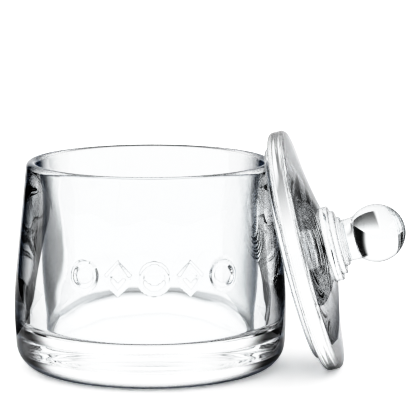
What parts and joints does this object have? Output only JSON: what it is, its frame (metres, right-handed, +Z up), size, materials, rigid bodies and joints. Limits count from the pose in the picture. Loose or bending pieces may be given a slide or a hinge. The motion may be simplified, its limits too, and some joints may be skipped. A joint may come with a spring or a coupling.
{
  "type": "sugar bowl",
  "caption": "Round pressed-glass bowl with a thick base and tapered wall, and a loose domed lid with a ball knob leaning on its rim.",
  "frame": {"origin": "centre of the bowl's flat base, on the surface it stands on", "axes": "+Z up through the bowl's mouth, -Y the front with the raised figures, the lid leans at about +X"},
  "size_m": [0.1499, 0.1076, 0.0917],
  "materials": {
    "bowl_glass": "polished clear soda-lime glass",
    "lid_glass": "polished clear soda-lime glass"
  },
  "bodies": {
    "bowl": {"bowl": "bowl_glass"},
    "lid": {"lid": "lid_glass"}
  },
  "joints": [
    {"name": "lid_lift", "type": "slide", "parent": "bowl", "child": "lid", "axis": [0, 0, 1], "range_m": [0, 0.1]}
  ]
}
